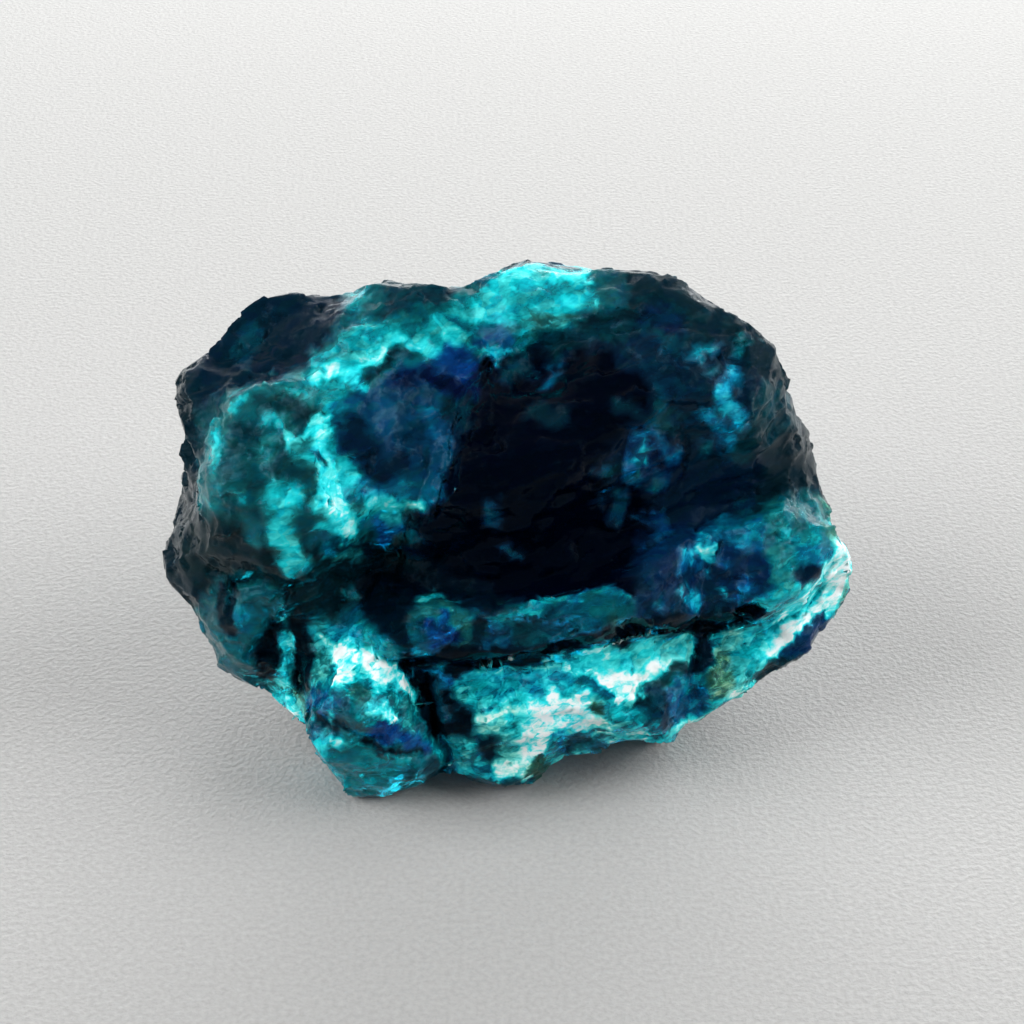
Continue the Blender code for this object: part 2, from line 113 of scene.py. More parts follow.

# Zones of the face, each painted over the ones before it: how bright, and so how clear, the
# crystal is there (0 is black, 1 is white), mostly painted light and shade: black for shade in
# the hollow, in clefts and under ledges, white for light shining through thin rims, and small
# bright painted glints; its hue (-1 royal blue, 0 cyan, 1 olive), half width, line.
ZONES = (
    # the broad grounds
    (0.09, -0.2, 4.6, ((-18.5, 11.5), (-17.0, 13.5), (-14.0, 14.5))),
    (0.08, 0.1, 2.0, ((-23.5, 9.0), (-23.5, 3.0), (-22.8, -3.5))),
    (0.13, 0.0, 2.2, ((-9.0, 16.5), (-4.5, 16.5))),
    (0.21, 0.1, 3.9, ((-17.8, 6.2), (-17.2, 1.0))),
    (0.10, 0.05, 3.0, ((7.0, 16.2), (11.5, 16.2), (15.0, 14.0), (17.5, 10.5))),
    (0.09, 0.05, 3.2, ((16.0, 11.0), (17.5, 6.0), (19.5, 4.0))),
    (0.07, 0.1, 1.7, ((20.5, 7.5), (21.0, 4.0), (18.5, 2.5))),
    # painted shade: the hollow, black
    (0.0, -0.4, 4.6, ((5.5, 9.5), (2.0, 6.5), (1.5, 1.0), (5.5, -0.5))),
    (0.0, -0.4, 3.4, ((-1.0, 8.5), (-3.0, -0.5), (2.5, -2.2), (9.0, -1.0), (11.0, 3.5))),
    (0.08, -0.4, 2.4, ((12.5, 1.5), (15.0, 3.5), (14.0, 5.0))),
    (0.13, -0.55, 2.9, ((11.5, -2.8), (15.5, -3.2))),
    (0.15, -0.4, 1.3, ((9.5, -5.8), (13.0, -5.4), (16.5, -5.0))),
    (0.08, 0.3, 2.6, ((-20.5, -1.5), (-18.5, -2.5), (-13.5, -3.8), (-9.5, -3.2))),
    (0.25, 0.1, 3.0, ((-18.5, -6.0), (-18.5, -8.0))),
    (0.03, -0.1, 2.0, ((-9.0, -4.6), (-8.6, -7.2))),
    (0.20, -0.1, 1.9, ((-5.0, -6.9), (0.5, -7.2), (5.0, -6.3))),
    (0.64, 0.0, 2.6, ((-2.0, -11.5), (3.0, -11.5), (8.0, -10.5))),
    (0.58, 0.1, 2.6, ((1.0, -14.5), (7.0, -13.5), (12.5, -12.0), (15.5, -9.5))),
    (0.62, 0.0, 2.0, ((15.0, -7.8), (18.5, -7.2), (21.5, -4.8), (23.0, -2.5))),
    (0.45, 0.0, 3.4, ((-11.5, -9.5), (-9.0, -12.0))),
    (0.42, 0.0, 2.3, ((-12.0, -16.0), (-8.5, -16.6))),
    # back left, and the ridge along the top, bright with painted light where it is thin
    (0.16, -0.2, 0.8, ((-18.2, 13.4), (-18.6, 12.2))),
    (0.30, 0.0, 1.3, ((-10.4, 16.2), (-10.6, 14.0))),
    (0.52, 0.0, 0.45, ((-10.9, 15.9), (-10.6, 16.5))),
    (0.52, 0.0, 0.7, ((-10.6, 14.4), (-10.7, 13.6))),
    (0.34, 0.0, 1.0, ((-12.6, 12.2), (-11.6, 13.4))),
    (0.54, 0.0, 1.5, ((-12.4, 11.6), (-9.8, 12.6), (-6.5, 13.6), (-3.0, 14.8), (0.0, 15.9),
                      (4.0, 16.6), (5.6, 16.8))),
    (0.34, 0.0, 0.6, ((-8.0, 14.7), (-5.5, 14.9), (-3.0, 16.0))),
    (0.84, 0.0, 0.6, ((-10.3, 11.8), (-9.2, 12.6), (-8.0, 13.1), (-6.2, 13.3))),
    (0.82, 0.0, 0.4, ((-6.2, 12.1), (-4.4, 13.2), (-2.6, 13.9), (-1.0, 14.8))),
    (0.66, 0.0, 0.7, ((-5.4, 14.3), (-3.8, 14.8), (-2.2, 15.1), (-0.2, 15.4))),
    (0.36, -0.3, 0.35, ((-4.0, 14.3), (-2.4, 14.0), (-0.6, 13.8))),
    (0.70, 0.0, 0.85, ((-1.0, 17.1), (0.6, 17.5), (1.7, 17.9))),
    (0.84, 0.0, 0.65, ((3.4, 17.6), (5.2, 17.5))),
    (0.48, 0.0, 0.4, ((1.6, 16.0), (3.2, 16.4), (5.0, 16.7))),
    (0.66, 0.0, 0.5, ((1.9, 15.3), (2.7, 15.0), (4.2, 15.6), (5.9, 16.1))),
    (0.24, 0.0, 0.8, ((6.5, 17.2), (7.6, 16.8), (6.4, 15.2))),
    (0.60, -0.15, 0.45, ((-5.0, 12.6), (-3.2, 12.3), (-1.4, 12.0), (0.4, 12.9), (1.2, 13.4))),
    (0.30, -0.8, 0.4, ((-2.2, 13.0), (-0.4, 13.1))),
    (0.10, 0.0, 0.45, ((-9.6, 11.0), (-8.2, 11.9), (-6.6, 12.0))),
    (0.30, -0.1, 0.6, ((-8.0, 10.9), (-6.6, 11.5))),
    (0.09, -0.9, 0.9, ((-8.0, 10.0), (-5.6, 10.5), (-3.0, 9.6))),
    (0.34, -1.0, 0.75, ((-4.6, 11.6), (-3.1, 11.2))),
    # left lobe
    (0.40, 0.05, 0.8, ((-14.6, 10.3), (-16.6, 9.6), (-18.8, 8.7), (-20.3, 7.0), (-20.7, 4.6),
                       (-20.9, 2.4))),
    (0.62, 0.05, 0.45, ((-19.2, 8.3), (-18.6, 8.8))),
    (0.62, 0.05, 0.55, ((-20.5, 6.2), (-20.4, 4.8))),
    (0.50, 0.1, 0.8, ((-15.2, 8.9), (-13.4, 9.4), (-11.9, 9.9))),
    (0.13, 0.2, 0.75, ((-17.4, 8.7), (-15.4, 8.0), (-13.6, 7.9))),
    (0.12, 0.1, 0.6, ((-19.0, 7.0), (-18.0, 6.6))),
    (0.48, 0.0, 0.6, ((-16.9, 7.9), (-16.3, 7.0))),
    (0.40, 0.1, 0.6, ((-17.0, 6.0), (-17.2, 4.6))),
    (0.78, 0.0, 0.4, ((-15.6, 6.5), (-15.3, 5.9), (-14.8, 5.9))),
    (0.16, 0.2, 1.1, ((-15.8, 4.2), (-14.7, 3.7), (-14.0, 2.7))),
    (0.52, 0.05, 0.5, ((-14.8, 5.4), (-14.0, 5.0))),
    (0.64, 0.0, 1.0, ((-16.2, 2.2), (-15.2, 2.3), (-15.9, 0.4), (-15.8, -1.2), (-15.0, -2.6))),
    (0.78, 0.0, 0.5, ((-16.0, -0.4), (-15.4, -1.6))),
    (0.50, 0.05, 0.4, ((-19.3, 2.6), (-19.0, 2.2))),
    (0.36, 0.0, 0.5, ((-18.2, 0.8), (-17.8, -0.6))),
    # the crest, left of the round face
    (0.90, 0.0, 0.55, ((-13.6, 10.9), (-12.2, 11.3), (-11.2, 10.9), (-10.5, 10.2))),
    (0.55, 0.0, 0.5, ((-11.6, 9.6), (-12.3, 8.6))),
    (0.92, 0.0, 0.28, ((-14.5, 6.3), (-13.2, 7.4), (-12.2, 8.3))),
    (0.84, 0.0, 0.55, ((-12.5, 7.6), (-12.9, 6.5), (-13.3, 5.6))),
    (0.84, 0.0, 1.15, ((-12.8, 4.8), (-12.4, 3.4), (-12.2, 2.0), (-11.7, 0.6))),
    (0.80, 0.0, 0.6, ((-13.2, 3.8), (-11.6, 3.4), (-10.8, 3.0))),
    (0.90, 0.0, 0.3, ((-12.2, 5.2), (-11.5, 5.1))),
    (0.12, -0.2, 0.3, ((-13.5, 5.4), (-12.7, 4.8))),
    (0.74, 0.0, 0.4, ((-13.2, -0.1), (-12.2, -0.6), (-10.7, -0.4))),
    (0.50, -0.5, 0.4, ((-12.9, -1.2), (-12.3, -1.4))),
    (0.08, -0.2, 0.28, ((-12.6, -0.9), (-11.2, -1.1), (-9.4, -1.4))),
    (0.38, 0.2, 0.45, ((-11.8, -1.8), (-10.8, -1.9))),
    # round face
    (0.20, -0.4, 3.5, ((-8.4, 6.8), (-7.4, 6.2))),
    (0.38, -0.4, 0.6, ((-11.4, 8.8), (-10.8, 8.2))),
    (0.10, -0.4, 0.9, ((-11.0, 7.6), (-10.8, 5.8))),
    (0.10, -0.4, 1.2, ((-9.9, 5.4), (-9.0, 4.2), (-7.9, 4.0))),
    (0.27, -0.5, 0.7, ((-8.9, 8.8), (-8.7, 7.4))),
    (0.29, -0.5, 0.6, ((-5.5, 8.4), (-5.2, 6.4), (-4.9, 4.6), (-5.6, 2.8))),
    (0.44, -0.5, 0.3, ((-5.3, 7.9), (-5.8, 6.5))),
    (0.42, -0.4, 0.55, ((-10.2, 2.6), (-8.4, 2.7), (-6.9, 3.1))),
    (0.74, 0.0, 0.75, ((-9.3, 1.2), (-8.3, 1.4))),
    (0.80, 0.1, 0.35, ((-7.2, 2.1), (-6.6, 1.5))),
    (0.50, -1.0, 0.6, ((-9.4, 0.2), (-8.4, -0.4), (-7.6, 0.2))),
    (0.77, -0.2, 0.6, ((-9.3, 1.9), (-8.3, 1.5), (-8.0, 0.9))),
    (0.40, -0.4, 0.4, ((-6.8, 2.8), (-5.9, 2.1))),
    # the hollow, with painted glints on the facet in it
    (0.15, -0.1, 0.8, ((0.0, 10.8), (1.2, 11.0))),
    (0.34, -0.3, 0.28, ((2.7, 10.1), (3.5, 10.5))),
    (0.26, -0.3, 0.28, ((2.9, 11.5), (3.7, 11.7))),
    (0.09, 0.0, 0.8, ((2.0, 8.2), (3.2, 7.8))),
    (0.27, -0.3, 0.7, ((-1.3, 1.3), (-0.9, 0.7))),
    (0.30, -0.2, 0.3, ((-0.6, -1.7), (0.7, -1.6))),
    (0.12, 0.0, 0.6, ((-3.9, 8.2), (-3.2, 7.4))),
    (0.13, 0.0, 1.0, ((3.6, 12.9), (6.0, 13.4), (8.6, 14.0))),
    (0.11, -0.3, 1.4, ((9.0, 12.3), (11.0, 11.2), (12.2, 9.0))),
    (0.12, -0.5, 0.8, ((9.5, 15.0), (11.5, 14.4))),
    (0.12, 0.0, 0.5, ((7.6, 8.3), (10.4, 8.0))),
    (0.10, -0.6, 1.9, ((9.2, 5.4), (10.1, 4.4))),
    (0.46, -0.5, 0.28, ((8.0, 3.6), (7.9, 5.0), (8.8, 6.4), (10.2, 6.9), (11.0, 6.2),
                       (11.3, 5.0))),
    (0.74, -0.4, 0.28, ((9.6, 6.0), (9.2, 5.2), (8.5, 4.6))),
    (0.60, -0.1, 0.28, ((9.6, 4.9), (9.7, 4.6))),
    (0.42, -0.1, 0.3, ((9.0, 4.3), (8.7, 3.7))),
    (0.36, -0.1, 0.3, ((9.9, 3.6), (10.1, 3.0), (10.7, 3.2))),
    (0.18, -0.2, 0.6, ((7.4, 2.2), (7.3, 0.6))),
    (0.32, -0.7, 0.35, ((10.3, 0.8), (10.6, -0.2), (10.8, -0.7))),
    (0.26, -0.6, 0.3, ((9.2, 0.8), (9.8, 0.4))),
    # right shoulder, with small painted highlights
    (0.10, -0.25, 2.6, ((13.8, 10.8), (15.6, 9.0), (14.2, 6.5))),
    (0.18, 0.05, 1.1, ((18.3, 9.2), (18.0, 7.6))),
    (0.13, 0.1, 0.9, ((16.6, 5.8), (17.8, 6.8), (19.6, 7.6))),
    (0.56, -0.3, 0.33, ((13.9, 12.9), (13.2, 12.5), (12.5, 11.8), (13.4, 11.6), (13.8, 10.8))),
    (0.40, 0.0, 0.4, ((16.4, 13.0), (16.2, 11.8))),
    (0.58, -0.4, 0.55, ((15.8, 11.2), (15.4, 10.2), (15.1, 9.2), (15.6, 8.2), (16.1, 7.3))),
    (0.76, -0.5, 0.35, ((15.2, 9.4), (15.7, 8.3))),
    (0.48, -0.5, 0.55, ((14.0, 8.0), (14.6, 6.9), (15.1, 6.1))),
    (0.36, -0.2, 0.35, ((13.7, 5.9), (13.6, 5.3))),
    # blue sparkles at the hollow's lower right: painted glints
    (0.86, -0.2, 0.42, ((13.1, -1.3), (13.6, -1.7), (14.1, -1.4))),
    (0.52, -0.3, 0.28, ((13.1, -0.4), (13.7, -0.9))),
    (0.66, -0.5, 0.3, ((12.4, -1.7), (12.6, -2.6))),
    (0.44, -0.6, 0.35, ((11.9, -3.2), (12.2, -2.4))),
    (0.74, -0.4, 0.3, ((13.3, -3.2), (13.6, -3.1))),
    (0.50, -0.8, 0.28, ((14.6, -2.2), (15.0, -2.5))),
    (0.56, -0.4, 0.4, ((12.2, -4.7), (12.8, -5.2))),
    (0.72, -0.3, 0.3, ((14.9, -4.1), (15.2, -4.2))),
    (0.46, -0.8, 0.3, ((16.1, -4.0), (16.5, -3.7))),
    # right ledge and roll
    (0.36, -0.4, 0.9, ((14.6, 0.0), (16.4, -0.8), (17.4, -0.6))),
    (0.60, -0.5, 0.3, ((15.8, -1.3), (16.5, -0.9))),
    (0.44, -0.7, 0.4, ((17.1, 0.6), (17.5, 0.2))),
    (0.34, 0.0, 1.4, ((18.6, 0.4), (19.8, 1.0), (21.2, 0.6))),
    (0.50, 0.0, 0.7, ((19.4, -0.6), (20.4, -0.6), (21.5, -0.1))),
    (0.46, 0.15, 0.9, ((18.7, -1.8), (18.9, -3.4))),
    (0.46, -0.4, 0.5, ((20.4, -1.7), (21.8, -1.3))),
    (0.09, -0.4, 0.75, ((20.6, -3.2), (21.2, -2.9))),
    (0.62, 0.0, 0.9, ((17.6, -5.3), (19.3, -5.0))),
    (0.45, 0.6, 0.35, ((22.1, 1.6), (22.5, 0.2), (22.9, -1.0))),
    (0.96, 0.0, 0.95, ((23.3, -1.6), (22.8, -2.6), (23.1, -3.9))),
    (1.00, 0.1, 0.5, ((22.9, -3.0), (23.2, -4.1))),
    (0.50, 0.5, 0.3, ((23.9, -3.2), (23.5, -5.0), (22.8, -5.4))),
    (0.96, 0.0, 0.75, ((22.3, -4.5), (21.2, -5.5))),
    (0.94, 0.0, 0.9, ((20.6, -5.9), (19.4, -7.1), (18.4, -8.2))),
    (1.00, 0.0, 0.5, ((19.7, -6.6), (19.1, -7.3))),
    (0.98, 0.1, 0.35, ((18.6, -8.1), (18.2, -8.5))),
    (0.20, -0.6, 0.8, ((21.6, -6.8), (20.6, -7.8), (19.4, -8.7))),
    (0.12, 0.1, 0.6, ((19.0, -9.4), (17.6, -10.2))),
    # collar, right of the block
    (0.30, 0.0, 0.6, ((14.4, -6.6), (16.6, -6.5))),
    (0.68, 0.3, 0.5, ((15.2, -8.2), (15.8, -7.7))),
    (0.52, 0.75, 1.0, ((14.8, -9.3), (14.9, -10.4), (14.2, -11.2))),
    (0.28, 0.8, 0.4, ((13.8, -10.6), (13.6, -11.4))),
    (0.84, 0.2, 0.4, ((17.0, -10.6), (15.7, -11.6))),
    (0.60, -0.1, 0.4, ((14.6, -12.2), (13.6, -12.0))),
    # the block
    (0.66, 0.15, 1.4, ((9.6, -8.2), (11.4, -8.6), (10.6, -9.2))),
    (0.64, 0.0, 0.6, ((7.0, -7.4), (8.2, -7.2), (9.2, -7.6))),
    (0.66, 0.0, 0.4, ((10.6, -7.6), (11.4, -7.4))),
    (0.97, 0.15, 0.55, ((8.9, -10.3), (10.2, -9.9), (11.8, -9.6))),
    (0.16, 0.2, 0.36, ((9.6, -11.2), (11.0, -10.7), (12.2, -9.7))),
    (0.74, 0.0, 0.3, ((12.7, -8.0), (12.9, -8.5))),
    (0.08, -0.2, 0.6, ((13.3, -7.2), (13.4, -9.2), (12.9, -10.0))),
    (0.38, -0.55, 1.2, ((11.4, -12.6), (12.6, -11.4))),
    (0.54, -0.2, 0.4, ((12.4, -10.8), (12.9, -10.6))),
    (0.14, -0.2, 0.95, ((9.9, -12.0), (10.2, -13.4))),
    (0.10, 0.0, 0.4, ((9.0, -11.8), (9.6, -12.1))),
    (0.50, -0.2, 0.7, ((10.2, -14.8), (11.2, -14.9))),
    (0.44, 0.0, 0.6, ((8.0, -12.8), (9.0, -13.2))),
    (0.84, 0.15, 0.4, ((11.6, -14.0), (12.8, -13.3))),
    # the white heart of the collar: painted light shining through it
    (0.84, 0.1, 0.6, ((5.6, -8.4), (6.4, -8.6))),
    (0.82, 0.0, 0.9, ((5.2, -9.6), (7.2, -9.6))),
    (1.00, 0.1, 1.05, ((7.4, -10.7), (8.2, -11.3))),
    (0.34, -0.2, 0.36, ((4.4, -10.8), (6.0, -10.9), (7.0, -11.6))),
    (0.98, 0.0, 0.7, ((2.3, -11.6), (3.8, -12.3), (5.2, -12.0))),
    (1.00, 0.05, 1.1, ((2.0, -12.6), (1.6, -14.0), (1.4, -15.4))),
    (1.00, 0.0, 1.0, ((3.4, -13.2), (5.4, -13.3))),
    (0.97, 0.3, 0.55, ((6.0, -14.0), (7.0, -14.2))),
    (0.60, 0.0, 0.5, ((6.9, -12.4), (7.8, -12.9))),
    (0.25, 0.9, 0.3, ((5.7, -12.2), (6.1, -13.0))),
    (0.58, -0.6, 0.35, ((3.0, -14.6), (4.0, -14.9))),
    (0.20, 0.1, 0.4, ((4.6, -15.2), (6.4, -15.0), (7.4, -15.6))),
    (0.55, -0.1, 0.5, ((7.6, -14.4), (8.0, -15.0))),
    (0.80, 0.0, 0.4, ((8.4, -14.0), (9.4, -14.3))),
    # collar, left part
    (0.60, -0.25, 1.0, ((-1.6, -10.6), (1.4, -10.5), (3.6, -10.2))),
    (0.84, 0.25, 0.3, ((0.0, -9.4), (1.4, -9.3), (3.0, -9.6))),
    (0.80, -0.15, 0.45, ((-3.0, -10.0), (-1.7, -10.1), (-0.6, -9.9))),
    (0.70, 0.0, 0.5, ((4.2, -9.0), (5.0, -8.6))),
    (0.64, -0.1, 0.8, ((-1.8, -11.0), (-1.2, -12.2))),
    (0.80, -0.05, 0.28, ((-0.6, -11.9), (1.0, -11.3), (2.2, -11.5))),
    (0.72, 0.0, 0.7, ((0.8, -12.6), (-0.4, -13.2))),
    (0.92, 0.3, 0.28, ((-2.3, -13.5), (-1.0, -13.0), (0.2, -12.4))),
    (0.70, 0.3, 0.8, ((-1.0, -14.0), (-0.4, -15.6))),
    (0.96, 0.3, 0.6, ((-0.8, -16.8), (1.2, -16.8))),
    (0.07, 0.0, 0.6, ((-1.6, -14.8), (-1.5, -16.4))),
    (0.24, 0.9, 0.6, ((2.0, -16.4), (2.4, -17.8))),
    # the cleft, with painted shade in it, and the small sparkling block, with painted glints
    (0.02, 0.0, 1.4, ((-5.6, -10.6), (-4.8, -12.8), (-4.0, -14.0))),
    (0.22, -0.2, 0.5, ((-5.2, -11.2), (-4.4, -12.6))),
    (0.72, -0.8, 0.42, ((-4.9, -10.0), (-4.3, -10.4))),
    (0.60, 0.15, 0.6, ((-4.1, -15.0), (-3.0, -15.4), (-3.2, -16.0))),
    (0.66, 0.0, 0.28, ((-3.0, -16.8), (-2.2, -16.8))),
    (0.14, 0.0, 0.7, ((-5.4, -16.6), (-5.0, -17.2))),
    # the lump
    (0.62, -0.3, 0.7, ((-11.9, -7.3), (-10.9, -7.6))),
    (0.82, 0.2, 0.35, ((-13.0, -7.3), (-12.4, -8.5))),
    (0.99, 0.0, 0.85, ((-11.8, -9.1), (-11.4, -10.2))),
    (0.99, 0.0, 0.9, ((-9.7, -9.4), (-9.0, -10.2))),
    (0.70, 0.1, 0.28, ((-10.5, -8.9), (-10.7, -10.2))),
    (0.93, 0.0, 0.65, ((-8.0, -10.4), (-7.2, -11.4))),
    (0.36, 0.4, 0.5, ((-10.6, -11.2), (-10.0, -11.8))),
    (0.86, 0.0, 0.5, ((-9.6, -12.1), (-8.7, -13.2), (-8.0, -13.8))),
    (0.56, 0.3, 0.9, ((-13.5, -9.0), (-13.7, -9.9))),
    (0.30, 0.8, 0.5, ((-14.3, -10.4), (-14.5, -11.2))),
    (0.38, -0.6, 0.9, ((-13.3, -12.0), (-12.4, -12.4))),
    (0.30, 0.0, 0.7, ((-11.6, -12.6), (-10.8, -13.2))),
    (0.10, 0.0, 0.5, ((-13.2, -13.5), (-11.6, -13.9))),
    (0.62, 0.1, 0.28, ((-12.6, -13.1), (-12.3, -13.4))),
    (0.34, -1.0, 0.5, ((-9.6, -14.3), (-7.4, -14.5), (-5.9, -15.2))),
    (0.06, 0.0, 0.28, ((-10.2, -15.0), (-8.4, -15.4), (-6.6, -15.5))),
    (0.56, -0.1, 0.55, ((-13.6, -14.8), (-13.3, -16.0), (-12.2, -17.6))),
    (0.84, 0.0, 0.28, ((-12.4, -14.9), (-12.0, -15.0))),
    (0.54, -0.1, 0.3, ((-11.2, -16.4), (-10.4, -16.6))),
    (0.20, 0.0, 0.28, ((-7.4, -17.6), (-6.8, -17.0), (-6.0, -16.6))),
    # the lens left of it, with painted light along its edges and painted shade in the gaps beside
    # it
    (0.92, 0.0, 0.3, ((-15.8, -6.0), (-16.3, -6.8))),
    (0.02, 0.0, 0.75, ((-14.7, -6.8), (-14.6, -10.6))),
    (0.02, 0.0, 0.7, ((-16.5, -7.2), (-17.0, -10.2))),
    (0.74, 0.0, 0.36, ((-15.7, -7.6), (-15.8, -10.8))),
    (0.74, 0.0, 0.6, ((-15.7, -12.0), (-14.9, -13.4))),
    (0.05, 0.0, 0.45, ((-19.7, -4.2), (-19.6, -7.2))),
    (0.36, -0.2, 0.5, ((-18.7, -5.9), (-18.4, -6.8))),
    (0.30, 0.1, 0.8, ((-20.4, -7.8), (-19.0, -9.4))),
    (0.46, 0.1, 0.3, ((-11.6, -4.3), (-11.3, -5.0))),
    (0.24, -0.2, 0.4, ((-11.3, -5.6), (-11.1, -6.3))),
    # the shelf
    (0.30, -0.9, 1.2, ((-5.0, -6.7), (-4.7, -7.2))),
    (0.14, -0.6, 0.35, ((-5.4, -6.7), (-4.4, -6.8))),
    (0.03, -0.2, 0.9, ((-7.4, -3.8), (-4.6, -3.7), (-2.8, -4.5), (-1.5, -5.0))),
    (0.36, 0.25, 0.42, ((-6.0, -5.9), (-4.6, -5.4), (-3.4, -6.1), (-2.8, -7.4), (-3.0, -8.6))),
    (0.24, -0.35, 0.9, ((-1.0, -6.8), (-1.4, -8.0))),
    (0.10, 0.0, 0.3, ((-2.2, -6.2), (-2.2, -8.4))),
    (0.29, -0.15, 0.8, ((2.6, -7.0), (4.0, -6.2), (4.8, -7.0))),
    (0.16, 0.0, 0.5, ((0.6, -6.8), (0.8, -8.0))),
    (0.44, -0.1, 0.28, ((-1.8, -6.2), (-0.6, -5.9), (1.0, -5.6), (2.6, -4.9), (5.0, -4.8),
                       (6.6, -4.1), (8.0, -4.4))),
    (0.54, -0.4, 0.3, ((4.8, -4.8), (5.6, -4.6))),
    (0.26, -0.05, 0.8, ((6.4, -5.2), (7.6, -5.4))),
    (0.12, -0.4, 0.7, ((9.2, -4.4), (10.0, -5.6))),
    (0.38, -0.3, 0.28, ((10.3, -4.9), (10.6, -5.5))),
    # painted shadow: the dark line under the shelf's lip
    (0.02, -0.1, 0.65, ((-7.4, -9.3), (-2.2, -9.1), (2.6, -8.7), (6.4, -7.6), (9.4, -6.7),
                       (13.0, -6.7), (17.4, -5.8))),
)

# How soft a zone's edge is, and how far the zones' lines wander: wavelength, reach.
ZONE_EDGE = 0.4
ZONE_WANDER = ((3.2, 0.3), (1.1, 0.16), (0.6, 0.08))

# Smooth places, where the crystal is whole: how gritty (1 is full of fine cracks), half width,
# line. Away from the face, the grit is the same all over.
SMOOTH_ZONES = (
    (0.25, 4.6, ((5.5, 8.5), (2.0, 4.5), (3.5, 0.0), (9.5, 1.0))),
    (0.35, 4.0, ((-17.8, 6.2), (-17.2, 1.0))),
    (0.35, 3.6, ((-8.4, 6.8), (-7.4, 6.2))),
    (0.30, 2.0, ((-9.0, -4.6), (-8.6, -7.2))),
    (0.30, 2.0, ((-12.0, -16.4), (-8.5, -16.8))),
    (0.40, 3.5, ((-19.0, 11.5), (-16.0, 13.8))),
    (0.40, 2.4, ((-18.8, -5.6), (-19.0, -8.4))),
    (0.45, 2.2, ((-12.4, 10.9), (-6.0, 13.4), (0.5, 16.2), (5.0, 17.0))),
    (0.50, 2.0, ((7.6, -8.4), (12.0, -9.2))),
    (0.60, 1.5, ((17.0, -8.2), (21.6, -5.2), (22.8, -2.6))),
)
SMOOTH_EDGE = 1.2
GRIT_AROUND = 0.7

# Streaks along the layers, on the rest of the skin, where the face's zones don't reach.
STREAKS = 420
STREAK_LENGTH = (1, 5)
STREAK_HALF_WIDTH = (0.4, 1.6)
STREAK_TONE = (1.1, 1.9)  # the two numbers of a beta distribution
STREAK_TINT = 0.35
STREAK_STRENGTH = 0.8
STREAK_SQUEEZE = 2.6
STREAK_SEARCH = 5  # no streak reaches farther than this from its middle

# Painted highlights on raised edges and painted shade in hollows: by how much at most, and at
# what height.
RELIEF_PAINTED_SHADING = 0.10
RELIEF_FULL = 0.25

# The crystal: what light does in it, and its gloss.
IOR = 1.575
ABSORPTION = (0.05, 0.72, 0.84, 1.0)
ABSORPTION_DENSITY = 120.0
SPECULAR_LEVEL = 0.1
SPECULAR_TINT = (0.12, 0.25, 0.35, 1.0)
ROUGHNESS = (0.10, 0.24)
BUMP_DEPTH = 0.15

# Fine patterns in the crystal, which are stretched along the layers: the size of each, as a
# noise scale per millimetre, and how far it shifts the tone, or the hue.
PATTERN_SQUEEZE = 1.7
CLOUD_SCALE, CLOUD_REACH = 0.55, 0.5
GRAIN_SCALE, GRAIN_REACH = 1.6, 0.8
CELL_SCALE, CELL_REACH, CELL_TINT = 1.3, 0.22, 0.3
VEIN_WIDTH, VEIN_REACH = 0.07, -0.14

# The floor: half its side in metres, and its paper's tones, grain and relief.
FLOOR_HALF = 2.0
PAPER_TONES = ((0.3, (0.30, 0.30, 0.295)), (0.7, (0.35, 0.35, 0.345)))
PAPER_GRAIN = 2600.0
PAPER_RELIEF = 0.2

# Soft boxes, which look at LAMP_AIM: name, place, power in watts, width and height in metres.
LAMP_AIM = (0, 0, 0.012)
LAMPS = (("back", (0.06, 0.46, 0.10), 8.0, 0.60, 0.18),
         ("left", (-0.80, -0.14, 0.50), 13.5, 0.90, 0.70),
         ("right", (0.80, 0.00, 0.50), 13.5, 0.90, 0.70))
WORLD_STRENGTH = 0.3

# How clear the crystal is along its tone, from dark to bright: the darkest zones, mostly painted
# shade, are taken to be full of inclusions, and the bright ones, mostly painted light, to be
# cloudy with fine cracks.
CLEARNESS = ((0.0, (0.1,) * 3), (0.12, (0.3,) * 3), (0.3, (0.68,) * 3), (0.5, (0.65,) * 3),
             (0.75, (0.35,) * 3), (1.0, (0.2,) * 3))

# The crystal's colour along its tone, from black where shade is painted to white where light is
# painted, for the three hues.
CYAN = ((0.0, (0.0, 0.001, 0.003)), (0.1, (0.001, 0.014, 0.024)), (0.2, (0.001, 0.065, 0.09)),
        (0.35, (0.001, 0.24, 0.28)), (0.5, (0.002, 0.52, 0.58)), (0.65, (0.006, 0.76, 0.82)),
        (0.8, (0.03, 0.95, 0.98)), (0.9, (0.4, 1.0, 1.0)), (1.0, (0.92, 1.0, 1.0)))
BLUE = ((0.0, (0.0, 0.0, 0.004)), (0.1, (0.001, 0.004, 0.034)), (0.2, (0.001, 0.02, 0.14)),
        (0.35, (0.002, 0.09, 0.45)), (0.5, (0.006, 0.26, 0.78)), (0.65, (0.02, 0.45, 0.92)),
        (0.8, (0.1, 0.72, 1.0)), (0.9, (0.35, 0.9, 1.0)), (1.0, (0.85, 0.98, 1.0)))
OLIVE = ((0.0, (0.0, 0.001, 0.0)), (0.1, (0.003, 0.014, 0.006)), (0.2, (0.012, 0.06, 0.028)),
         (0.35, (0.05, 0.20, 0.09)), (0.5, (0.14, 0.46, 0.22)), (0.65, (0.32, 0.66, 0.34)),
         (0.8, (0.62, 0.9, 0.56)), (0.9, (0.85, 0.98, 0.76)), (1.0, (1.0, 1.0, 0.9)))


def triples(source, name):
    found = np.empty(len(source) * 3, np.float32)
    source.foreach_get(name, found)
    return found.reshape(-1, 3).astype(float)


def points_of(mesh):
    return triples(mesh.vertices, "co")


def normals_of(mesh):
    return triples(mesh.vertex_normals, "vector")


def move_points(mesh, points):
    mesh.vertices.foreach_set("co", points.astype(np.float32).ravel())
    mesh.update()


